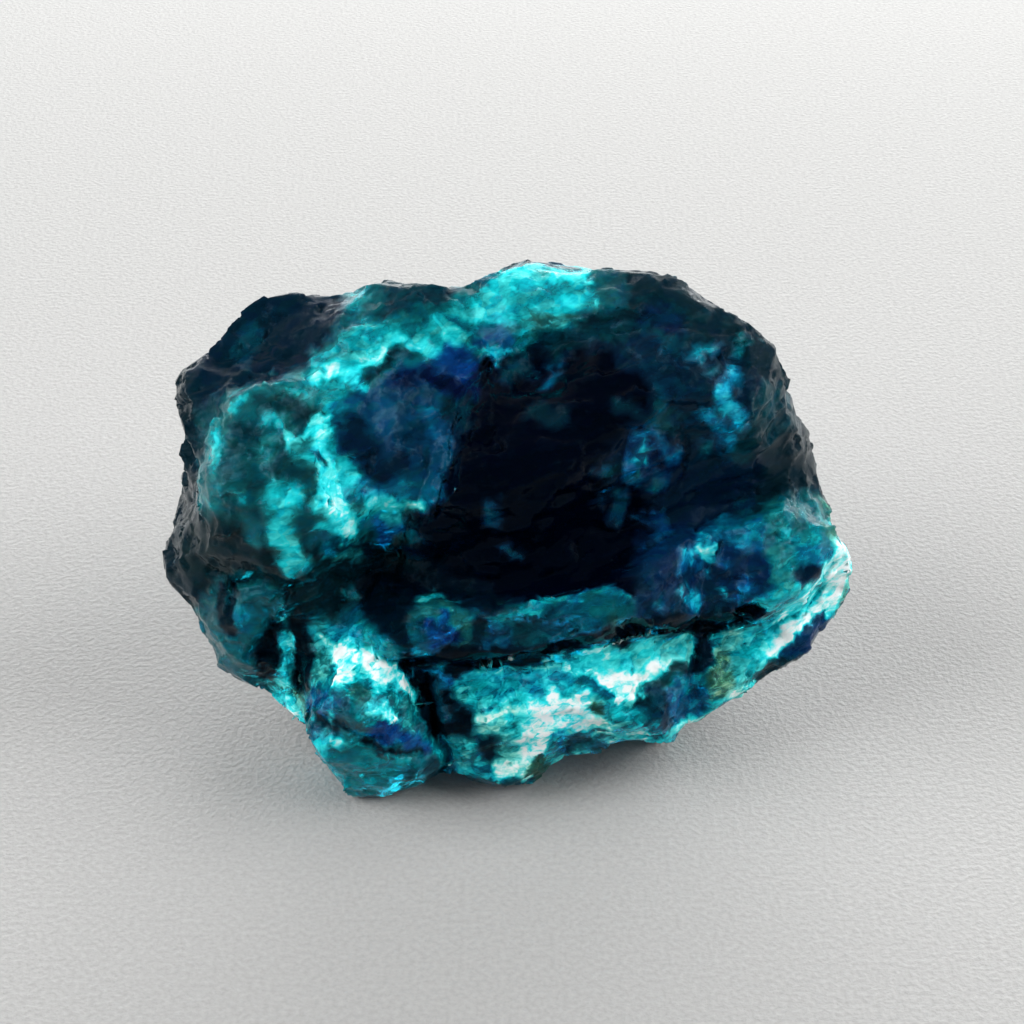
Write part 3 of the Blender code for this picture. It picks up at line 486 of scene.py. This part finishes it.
def add_object(name, data):
    obj = bpy.data.objects.new(name, data)
    bpy.context.scene.collection.objects.link(obj)
    return obj


def apply_modifier(obj, kind, **settings):
    """Adds a modifier and keeps its result as the object's mesh."""
    modifier = obj.modifiers.new(kind.title(), kind)
    for name, value in settings.items():
        setattr(modifier, name, value)
    graph = bpy.context.evaluated_depsgraph_get()
    made = bpy.data.meshes.new_from_object(obj.evaluated_get(graph))
    obj.modifiers.clear()
    obj.data = made


def fine_copy(node):
    """The solid as one even skin of small quads, in millimetres."""
    mesh = node.data.copy()
    mesh.materials.clear()
    move_points(mesh, points_of(mesh) / MM)
    stone = add_object("rough_stone", mesh)
    apply_modifier(stone, "WELD", merge_threshold=0.001)
    apply_modifier(stone, "REMESH", mode="VOXEL", voxel_size=SKIN_VOXEL)
    apply_modifier(stone, "SMOOTH", factor=0.5, iterations=6)
    return stone


def waves(points, random, count, wavelength):
    """A smooth, seeded, uneven field over points, from about -1 to 1."""
    total = np.zeros(len(points))
    for _ in range(count):
        way = random.normal(size=3)
        way *= 2 * math.pi / (wavelength * np.linalg.norm(way) * random.uniform(0.6, 1.6))
        total += np.sin(points @ way + random.uniform(0, 2 * math.pi))
    return total / math.sqrt(count)


def wander(points, random, count, wavelength):
    """A smooth, seeded shift (right, up) for each point."""
    return np.stack([waves(points, random, count, wavelength) for _ in range(2)], axis=1)


def squeezed(points, times):
    """The points, with steps across the layers made so many times as long."""
    along = (points @ LAYER_NORMAL)[:, None]
    return points + (times - 1) * along * LAYER_NORMAL


def layer(mesh, random):
    """Cuts worn layers into the sides: a sawtooth along the layers' normal."""
    points, normals = points_of(mesh), normals_of(mesh)
    along = points @ LAYER_NORMAL + LAYER_WANDER * waves(points, random, 6, 9)
    tooth = 1 - (along / LAYER_PITCH) % 1
    strength = np.clip(0.45 + 0.5 * waves(points, random, 6, 12), 0, 1)
    side = 1 - np.abs(normals @ LAYER_NORMAL)
    move_points(mesh, points - (LAYER_DEPTH * tooth * strength * side)[:, None] * normals)


def facet(mesh, random, count, flatness, unevenness):
    """Flattens the skin, patch by patch, into facets that are longest along the layers."""
    points, normals = points_of(mesh), normals_of(mesh)
    place = squeezed(points, FACET_SQUEEZE)
    key = np.hstack([place, FACET_TURN * normals]).astype(np.float32)
    seeds = key[random.choice(len(key), count, replace=False)]
    square = (seeds ** 2).sum(axis=1)
    nearest = np.empty(len(key), int)
    at_once = 1000
    for start in range(0, len(key), at_once):
        block = key[start:start + at_once]
        nearest[start:start + at_once] = (square - 2 * block @ seeds.T).argmin(axis=1)
    size = np.maximum(np.bincount(nearest, minlength=count), 1)[:, None]
    centre = np.stack([np.bincount(nearest, c, count) for c in points.T], axis=1) / size
    facing = np.stack([np.bincount(nearest, n, count) for n in normals.T], axis=1)
    facing /= np.maximum(np.linalg.norm(facing, axis=1), 1e-9)[:, None]
    height = ((points - centre[nearest]) * facing[nearest]).sum(axis=1)
    rise = random.normal(0, unevenness, count)[nearest] - flatness * height
    move_points(mesh, points + rise[:, None] * facing[nearest])


def seen(points):
    """(right, up) of the points as seen square on to the face."""
    offset = points - FACE_MIDDLE
    scale = SEEN_FROM / (SEEN_FROM - offset @ FACE_OUT)
    return np.stack([offset @ FACE_RIGHT, offset @ FACE_UP], axis=1) * scale[:, None]


def from_line(points, line):
    """Distance of points from a line of several points."""
    best = np.full(len(points), 1e9)
    for start, end in zip(line, line[1:]):
        start, along = np.array(start), np.subtract(end, start)
        share = np.clip((points - start) @ along / (along @ along), 0, 1)
        best = np.minimum(best, np.linalg.norm(points - start - share[:, None] * along, axis=1))
    return best


def crack(mesh, random):
    """Cuts the face's named cracks, which wander a little and change in depth."""
    points, normals = points_of(mesh), normals_of(mesh)
    flat = seen(points) + CRACK_WANDER * wander(points, random, 5, 3)
    facing = np.clip((normals @ FACE_OUT + 0.1) / 0.4, 0, 1)
    uneven = np.clip(0.75 + 0.4 * waves(points, random, 5, 4), 0.2, 1.2)
    cut = np.zeros(len(points))
    for depth, half_width, line in CRACKS.values():
        near = np.clip(1 - from_line(flat, line) / half_width, 0, 1)
        cut = np.maximum(cut, depth * near)
    move_points(mesh, points - (cut * uneven * facing)[:, None] * FACE_OUT)


def smooth_step(share):
    share = np.clip(share, 0, 1)
    return share * share * (3 - 2 * share)


def stroke(points, line, half_width, edge):
    """How much of each point a stroke covers: 1 inside it, 0 outside, with a soft edge."""
    return smooth_step((half_width - from_line(points, line)) / edge + 0.5)


def relief_of(stone):
    """How far each point stands out (+) or lies back (-) from the smoothed skin."""
    copy = add_object("smoothed", stone.data.copy())
    apply_modifier(copy, "SMOOTH", factor=0.5, iterations=12)
    smooth, normals = points_of(copy.data), normals_of(copy.data)
    bpy.data.objects.remove(copy)
    return ((points_of(stone.data) - smooth) * normals).sum(axis=1)


def thickness_of(mesh, points, normals):
    """How far it is from each point straight through the stone."""
    tree = BVHTree.FromPolygons(points.tolist(), [tuple(p.vertices) for p in mesh.polygons])
    found = np.empty(len(points))
    under_skin = 0.05
    for index, (point, normal) in enumerate(zip(points, normals)):
        inward = Vector(-normal)
        distance = tree.ray_cast(Vector(point) + under_skin * inward, inward)[3]
        found[index] = 0.0 if distance is None else distance
    return found


def skin_colours(points, thick, random):
    """Glow and hue of the skin all round: painted shade where thick and painted light where thin,
    as if lit through, with random tone and streaks along the layers.
    """
    place = squeezed(points, STREAK_SQUEEZE)
    # Painted light and shade: random tone, made darker where the stone is thick and lighter where
    # it is thin.
    glow = 0.30 + 0.16 * waves(points, random, 8, 16) - 0.008 * (np.minimum(thick, 30) - 12)
    glow = np.clip(glow, 0.06, 0.75)
    hue = 0.35 * waves(points, random, 6, 14)
    for _ in range(STREAKS):
        start = place[random.integers(len(place))]
        way = random.normal(size=3)
        way -= (way @ LAYER_NORMAL) * LAYER_NORMAL
        way *= random.uniform(*STREAK_LENGTH) / np.linalg.norm(way)
        half_width = random.uniform(*STREAK_HALF_WIDTH)
        tone = random.beta(*STREAK_TONE)
        tint = random.normal(0, STREAK_TINT)
        near = np.flatnonzero(np.linalg.norm(place - start - way / 2, axis=1) < STREAK_SEARCH)
        share = stroke(place[near], (start, start + way), half_width, ZONE_EDGE)
        glow[near] += share * (tone - glow[near]) * STREAK_STRENGTH
        hue[near] += share * (tint - hue[near])
    return glow, hue


def face_colours(flat, glow, hue):
    """Glow and hue with the face's zones painted over them. Wide or high ones are softer."""
    glow, hue = glow.copy(), hue.copy()
    edge = ZONE_EDGE * (0.6 + smooth_step((flat[:, 1] + 5) / 6))
    for tone, tint, half_width, line in ZONES:
        share = stroke(flat, line, half_width, edge + 0.3 * half_width)
        glow += share * (tone - glow)
        hue += share * (tint - hue)
    return glow, hue


def face_grit(flat):
    """How gritty the face is: fine cracks cloud its lower part most, but not the whole places."""
    grit = 0.5 + 0.35 * smooth_step((-4.0 - flat[:, 1]) / 3)
    for level, half_width, line in SMOOTH_ZONES:
        grit += stroke(flat, line, half_width, SMOOTH_EDGE) * (level - grit)
    return grit


def colour_fields(stone, random):
    """Writes the stone's glow, hue and grit on its points."""
    mesh = stone.data
    points, normals = points_of(mesh), normals_of(mesh)
    glow, hue = skin_colours(points, thickness_of(mesh, points, normals), random)
    flat = seen(points)
    for wavelength, reach in ZONE_WANDER:
        flat += reach * wander(points, random, 7, wavelength)

    # The face's colours, mostly painted light and shade with their hues, are on the skin that
    # faces the camera.
    to_eye = FACE_MIDDLE + SEEN_FROM * FACE_OUT - points
    to_eye /= np.linalg.norm(to_eye, axis=1)[:, None]
    facing = smooth_step(((normals * to_eye).sum(axis=1) + 0.35) / 0.3)
    face_glow, face_hue = face_colours(flat, glow, hue)
    glow += facing * (face_glow - glow)
    hue += facing * (face_hue - hue)

    # Painted highlight on raised edges and painted shade in hollows.
    relief = np.clip(relief_of(stone) / RELIEF_FULL, -1, 1)
    glow += relief * RELIEF_PAINTED_SHADING * np.clip(glow / 0.4, 0.2, 1)
    grit = GRIT_AROUND + facing * (face_grit(flat) - GRIT_AROUND)
    grit *= np.clip((glow - 0.04) / 0.4, 0.1, 1)
    for name, values in (("glow", glow), ("hue", hue), ("grit", grit)):
        mesh.attributes.new(name, "FLOAT", "POINT").data.foreach_set(
            "value", values.astype(np.float32))


class Nodes:
    """A short way to build a material's nodes."""

    def __init__(self, name):
        self.material = bpy.data.materials.new(name)
        self.material.use_nodes = True
        self.tree = self.material.node_tree
        self.surface = self.tree.nodes["Principled BSDF"]

    def add(self, kind, settings=None, **inputs):
        """A new node. Its inputs go by name, or as i0, i1 and so on by number."""
        node = self.tree.nodes.new(kind)
        for name, value in (settings or {}).items():
            setattr(node, name, value)
        for name, value in inputs.items():
            self.set(node, int(name[1:]) if name[0] == "i" else name, value)
        return node

    def set(self, node, key, value):
        if isinstance(value, bpy.types.NodeSocket):
            self.tree.links.new(value, node.inputs[key])
        else:
            node.inputs[key].default_value = value

    def set_surface(self, **inputs):
        for name, value in inputs.items():
            self.set(self.surface, name.replace("_", " "), value)

    def field(self, name):
        return self.add("ShaderNodeAttribute", {"attribute_name": name}).outputs["Fac"]

    def math(self, operation, first, second=0.0, clamp=False):
        return self.add("ShaderNodeMath", {"operation": operation, "use_clamp": clamp},
                        i0=first, i1=second).outputs[0]

    def ramp(self, factor, stops):
        node = self.add("ShaderNodeValToRGB", Fac=factor)
        elements = node.color_ramp.elements
        while len(elements) < len(stops):
            elements.new(0.5)
        for element, (place, colour) in zip(elements, stops):
            element.position = place
            element.color = (*colour, 1)
        return node.outputs[0]

    def swing(self, value, reach):
        """The value's way from its middle, 0.5, times a reach."""
        return self.math("MULTIPLY", self.math("SUBTRACT", value, 0.5), reach)

    def span(self, value, low, high, to_low, to_high):
        return self.add("ShaderNodeMapRange", {"clamp": True}, i0=value, i1=low, i2=high,
                        i3=to_low, i4=to_high).outputs[0]

    def mix(self, factor, first, second):
        """A colour mix. Its sockets share their names with those for numbers, so go by number."""
        node = self.add("ShaderNodeMix", {"data_type": "RGBA"})
        self.set(node, 0, factor)
        self.set(node, 6, first)
        self.set(node, 7, second)
        return node.outputs[2]


def aquamarine():
    n = Nodes("aquamarine")
    turn = Vector((0, 0, 1)).rotation_difference(Vector(LAYER_NORMAL)).to_euler()
    place = n.add("ShaderNodeMapping", {"vector_type": "TEXTURE"},
                  Vector=n.add("ShaderNodeTexCoord").outputs["Object"], Rotation=turn,
                  Scale=(MM, MM, MM / PATTERN_SQUEEZE)).outputs[0]
    glow, hue, grit = n.field("glow"), n.field("hue"), n.field("grit")
    grain = n.add("ShaderNodeTexNoise", Vector=place, Scale=GRAIN_SCALE, Detail=4.0,
                  Roughness=0.6, Distortion=0.5).outputs["Fac"]
    cloud = n.add("ShaderNodeTexNoise", Vector=place, Scale=CLOUD_SCALE, Detail=2.0,
                  Distortion=0.8).outputs["Fac"]
    cells = n.add("ShaderNodeTexVoronoi", Vector=place, Scale=CELL_SCALE)
    cell = n.add("ShaderNodeSeparateColor", Color=cells.outputs["Color"]).outputs[0]

    # Tone: the glow, stirred by grain, cells and veins where it is gritty, and by clouds.
    cracked = n.swing(cell, n.span(grit, 0.3, 0.9, 0.0, CELL_REACH))
    stir = n.math("ADD", n.swing(grain, GRAIN_REACH), cracked)
    off_middle = n.math("ABSOLUTE", n.math("SUBTRACT", cloud, 0.5))
    stir = n.math("ADD", stir, n.span(off_middle, 0.0, VEIN_WIDTH, VEIN_REACH, 0.0))
    tone = n.math("ADD", glow, n.math("MULTIPLY", stir, grit))
    swirl = n.swing(cloud, n.span(glow, 0.04, 0.5, 0.0, CLOUD_REACH))
    tone = n.math("ADD", tone, swirl, clamp=True)

    # Colour: cyan, turned to royal blue or olive by the hue.
    tint = n.math("ADD", hue, n.swing(cell, CELL_TINT))
    colour = n.ramp(tone, CYAN)
    colour = n.mix(n.math("MULTIPLY", tint, -1.0, clamp=True), colour, n.ramp(tone, BLUE))
    colour = n.mix(n.math("MULTIPLY", tint, 1.0, clamp=True), colour, n.ramp(tone, OLIVE))

    # Relief: the grain again, deeper where it is gritty.
    height = n.math("MULTIPLY", grain, n.span(grit, 0.0, 0.6, 0.2, 0.7))
    bump = n.add("ShaderNodeBump", Height=height, Strength=0.4, Distance=BUMP_DEPTH * MM)
    n.set_surface(Base_Color=colour, Normal=bump.outputs[0], IOR=IOR,
                  Specular_Tint=SPECULAR_TINT, Specular_IOR_Level=SPECULAR_LEVEL,
                  Roughness=n.span(grain, 0.35, 0.65, *ROUGHNESS),
                  Transmission_Weight=n.ramp(tone, CLEARNESS))
    absorb = n.add("ShaderNodeVolumeAbsorption", Color=ABSORPTION, Density=ABSORPTION_DENSITY)
    n.set(n.tree.nodes["Material Output"], "Volume", absorb.outputs[0])
    return n.material


def paper():
    n = Nodes("paper")
    place = n.add("ShaderNodeTexCoord").outputs["Object"]
    grain = n.add("ShaderNodeTexNoise", Vector=place, Scale=PAPER_GRAIN,
                  Detail=3.0).outputs["Fac"]
    bump = n.add("ShaderNodeBump", Height=grain, Strength=0.5, Distance=PAPER_RELIEF * MM)
    n.set_surface(Base_Color=n.ramp(grain, PAPER_TONES), Normal=bump.outputs[0], Roughness=0.9)
    return n.material


def add_light(name, place, power, width, height):
    """A soft box that looks at the stone. The camera sees neither it nor its reflection."""
    lamp = bpy.data.lights.new(name, "AREA")
    lamp.shape = "RECTANGLE"
    lamp.energy = power
    lamp.size = width
    lamp.size_y = height
    obj = add_object(name, lamp)
    obj.location = place
    obj.rotation_euler = (Vector(LAMP_AIM) - obj.location).to_track_quat("-Z", "Y").to_euler()
    obj.visible_camera = False
    obj.visible_glossy = False


def add_camera():
    """Square on to the face, from SEEN_FROM away, with its middle at MIDDLE_PIXEL."""
    data = bpy.data.cameras.new("camera")
    data.lens = LENS
    data.sensor_width = SENSOR
    data.clip_start = 0.01
    off = (np.array(MIDDLE_PIXEL) - PIXELS / 2) * MM_PER_PIXEL
    aim = FACE_MIDDLE - off[0] * FACE_RIGHT + off[1] * FACE_UP
    camera = add_object("camera", data)
    camera.location = (aim + SEEN_FROM * FACE_OUT) * MM
    camera.rotation_euler = Vector(-FACE_OUT).to_track_quat("-Z", "Y").to_euler()
    bpy.context.scene.camera = camera


def add_floor():
    mesh = bpy.data.meshes.new("floor")
    corners = [(FLOOR_HALF * x, FLOOR_HALF * y, 0)
               for x, y in ((-1, -1), (1, -1), (1, 1), (-1, 1))]
    mesh.from_pydata(corners, [], [(0, 1, 2, 3)])
    mesh.materials.append(paper())
    floor = add_object("floor", mesh)


def shaped(node):
    """The stone's skin: layers, facets and cracks cut into a fine copy of the solid.

    Nothing of it goes below the floor.
    """
    stone = fine_copy(node)
    random = np.random.default_rng((SEED, 1))
    layer(stone.data, random)
    facet(stone.data, random, *FACETS)
    crack(stone.data, random)
    facet(stone.data, random, *SMALL_FACETS)
    points = points_of(stone.data)
    points[:, 2] = np.maximum(points[:, 2], 0)
    move_points(stone.data, points)
    faces = sum(len(p.vertices) - 2 for p in stone.data.polygons)
    apply_modifier(stone, "DECIMATE", ratio=min(1, TRIANGLES / faces))
    return stone


def coloured(stone):
    colour_fields(stone, np.random.default_rng((SEED, 2)))
    move_points(stone.data, points_of(stone.data) * MM)
    stone.data.polygons.foreach_set("use_smooth", [True] * len(stone.data.polygons))
    stone.data.materials.append(aquamarine())


def add_studio():
    add_floor()
    add_camera()
    for lamp in LAMPS:
        add_light(*lamp)
    world = bpy.data.worlds.new("studio")
    bpy.context.scene.world = world
    world.use_nodes = True
    background = world.node_tree.nodes["Background"]
    background.inputs["Color"].default_value = (1, 1, 1, 1)
    background.inputs["Strength"].default_value = WORLD_STRENGTH
    bpy.context.scene.view_settings.view_transform = "Standard"


def main():
    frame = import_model()
    stone = shaped(frame["nodes"][NODE])
    coloured(stone)
    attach(stone, "root")
    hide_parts(NODE)
    add_studio()


main()
